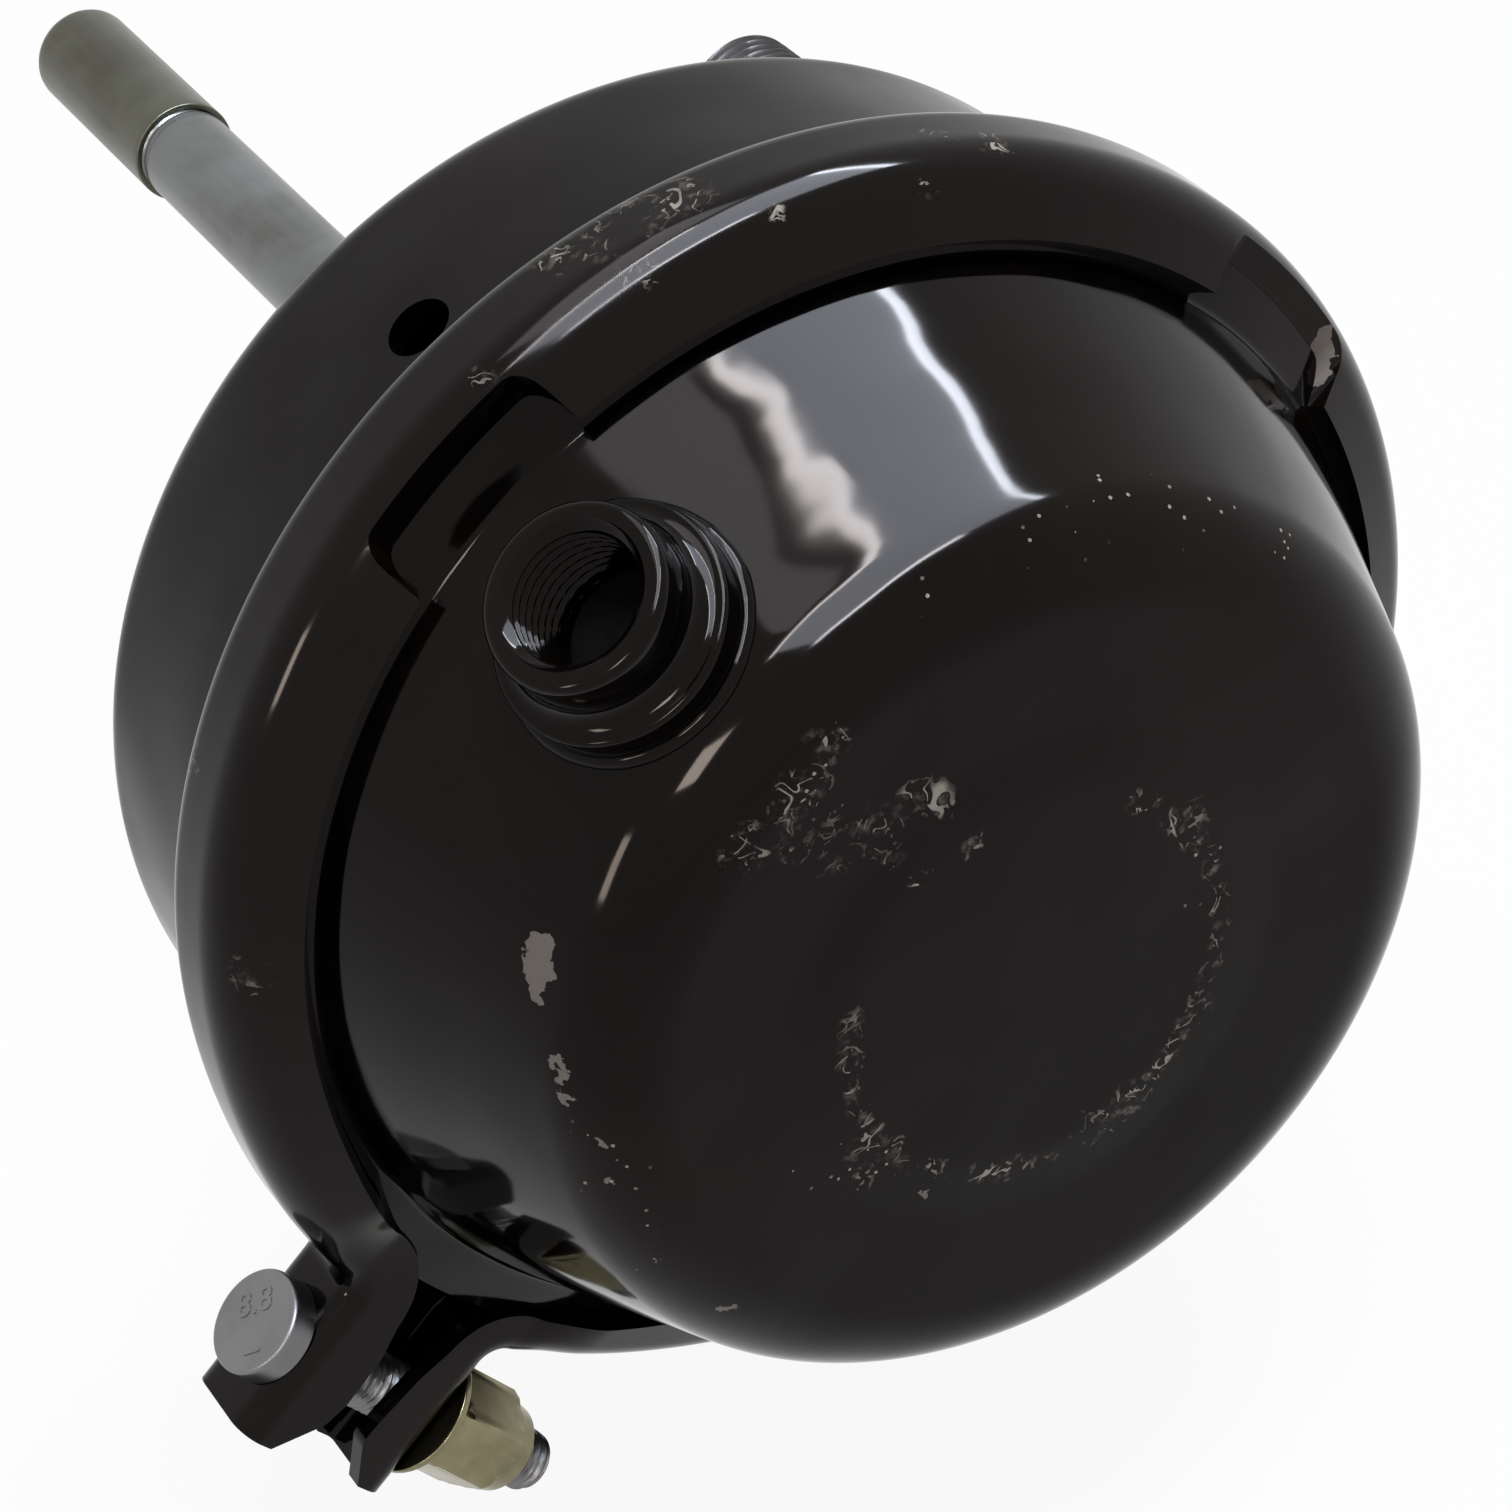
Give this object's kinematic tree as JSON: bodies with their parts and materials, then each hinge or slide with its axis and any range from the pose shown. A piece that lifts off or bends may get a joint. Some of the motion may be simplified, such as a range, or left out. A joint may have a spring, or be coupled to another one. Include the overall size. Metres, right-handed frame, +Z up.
{
  "type": "air brake chamber",
  "caption": "Black diaphragm brake chamber: conical pressure housing with a threaded side port, bolted clamp ring, cup-shaped rear housing with mounting studs, and a long push rod.",
  "frame": {"origin": "centre of the mounting face, on the push rod's axis", "axes": "+Y along the push rod, out of the mounting face; +Z up, with the clamp bolt below towards -X -Z and the port above towards -X +Z"},
  "size_m": [0.1638, 0.2751, 0.1757],
  "materials": {
    "housing_paint": "gloss black paint with scuffs",
    "port_paint": "gloss black paint",
    "clamp_paint": "gloss black paint with worn edges",
    "diaphragm_rubber": "fabric-backed black rubber",
    "zinc_steel": "bright zinc plate",
    "yellow_zinc": "yellow passivated zinc plate",
    "stud_steel": "dark phosphate",
    "inner_steel": "plain pressed steel",
    "seal_rubber": "black rubber",
    "spring_steel": "black coated spring wire",
    "rod_zinc": "drawn bar, zinc plate",
    "cap_zinc": "dull olive zinc plate"
  },
  "bodies": {
    "chamber": {"pressure_housing": "housing_paint", "port_boss": "port_paint", "port_weld": "port_paint", "rear_housing": "housing_paint", "diaphragm": "diaphragm_rubber", "clamp_band": "clamp_paint", "clamp_bolt": "zinc_steel", "clamp_washer": "yellow_zinc", "clamp_nut": "yellow_zinc", "mounting_studs": "stud_steel", "stiffening_disc": "inner_steel", "dust_washer": "seal_rubber", "spring_seat": "inner_steel", "return_spring": "spring_steel"},
    "push_rod": {"push_plate": "inner_steel", "push_rod": "rod_zinc", "rod_hub": "inner_steel", "hub_weld": "inner_steel"},
    "rod_cap": {"rod_cap": "cap_zinc"}
  },
  "joints": [
    {"name": "rod_slide", "type": "slide", "parent": "chamber", "child": "push_rod", "axis": [0, 1, 0], "range_m": [0, 0.057], "stiffness_N_per_m": 1500, "springref_m": -0.04, "deforming": ["return_spring", "diaphragm"]},
    {"name": "cap_pull", "type": "slide", "parent": "push_rod", "child": "rod_cap", "axis": [0, 1, 0], "range_m": [0, 0.045]}
  ]
}
